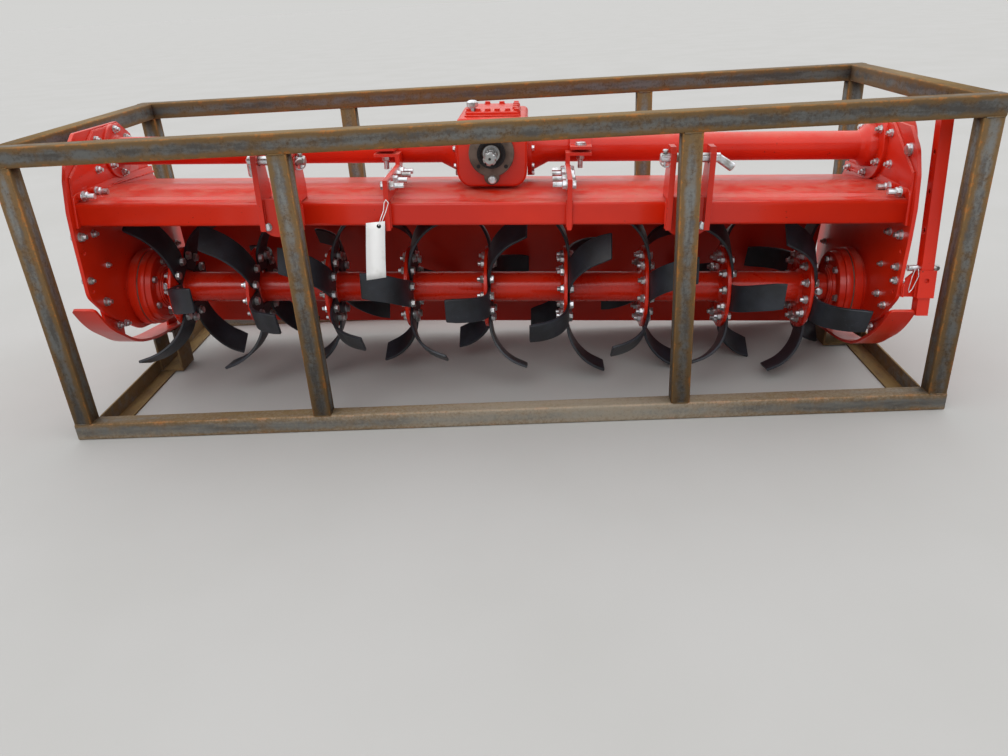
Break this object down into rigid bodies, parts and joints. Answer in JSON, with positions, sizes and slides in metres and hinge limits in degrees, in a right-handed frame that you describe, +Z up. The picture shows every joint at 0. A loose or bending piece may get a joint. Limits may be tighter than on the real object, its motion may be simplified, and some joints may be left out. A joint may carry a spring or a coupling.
{
  "type": "rotavator",
  "caption": "Rotary tiller: bladed rotor under a hood between two side plates, gearbox and drive tubes on top, rear board, skids and stand, held in a square-tube transport frame.",
  "frame": {"origin": "bottom centre of the transport frame, on the ground it stands on", "axes": "+X along the rotor towards the drive case, -Y towards the tractor, +Z up"},
  "size_m": [2.4, 0.887, 0.809],
  "materials": {
    "frame_steel": "hot-rolled mill scale with rust, bare",
    "blade_black": "black paint, thin over forged steel",
    "red_paint": "glossy red enamel, dusty",
    "zinc": "zinc plated",
    "bare_cast": "bare machined casting",
    "bright_steel": "bright turned steel, oiled"
  },
  "bodies": {
    "machine": {"crate_base_rails": "frame_steel", "crate_top_rails": "frame_steel", "crate_top_end_rails": "frame_steel", "crate_front_posts": "frame_steel", "crate_rear_posts": "frame_steel", "crate_cross_angles": "frame_steel", "crate_skid_rests": "frame_steel", "side_plate_left": "red_paint", "side_plate_right": "red_paint", "bearing_housings": "red_paint", "toolbar": "red_paint", "hood": "red_paint", "rear_board_rod": "zinc", "support_tube_left": "red_paint", "drive_tube_right": "red_paint", "drive_case": "red_paint", "gearbox_housing": "red_paint", "gearbox_front_cover": "bare_cast", "gearbox_lid": "red_paint", "mast_bracket_left": "red_paint", "mast_bracket_right": "red_paint", "lower_link_bracket_left": "red_paint", "lower_link_bracket_right": "red_paint", "lower_link_pins": "zinc", "skid_left": "red_paint", "skid_right": "red_paint", "stand_sleeve": "red_paint"},
    "rotor": {"rotor_reel": "blade_black"},
    "input": {"input_shaft": "bright_steel"},
    "board": {"rear_board": "red_paint"},
    "stand": {"stand_leg": "red_paint", "stand_pin": "zinc"}
  },
  "joints": [
    {"name": "rotor_spin", "type": "hinge", "parent": "machine", "child": "rotor", "pos_m": [-0.023, -0.092, 0.2845], "axis": [0.9991, -0.015, -0.0402], "continuous": true},
    {"name": "input_spin", "type": "hinge", "parent": "machine", "child": "input", "pos_m": [0.01129, -0.26253, 0.70336], "axis": [-0.015, -0.9999, 0], "continuous": true},
    {"name": "rear_board_swing", "type": "hinge", "parent": "machine", "child": "board", "pos_m": [-0.0127, 0.19288, 0.43438], "axis": [0.9991, -0.015, -0.0402], "range_deg": [0, 22]},
    {"name": "stand_leg_slide", "type": "slide", "parent": "machine", "child": "stand", "axis": [0.0423, 0.1885, 0.9812], "range_m": [0, 0.09]}
  ],
  "couplings": [
    {"joint": "input_spin", "follows": "rotor_spin", "ratio": 2.45}
  ]
}
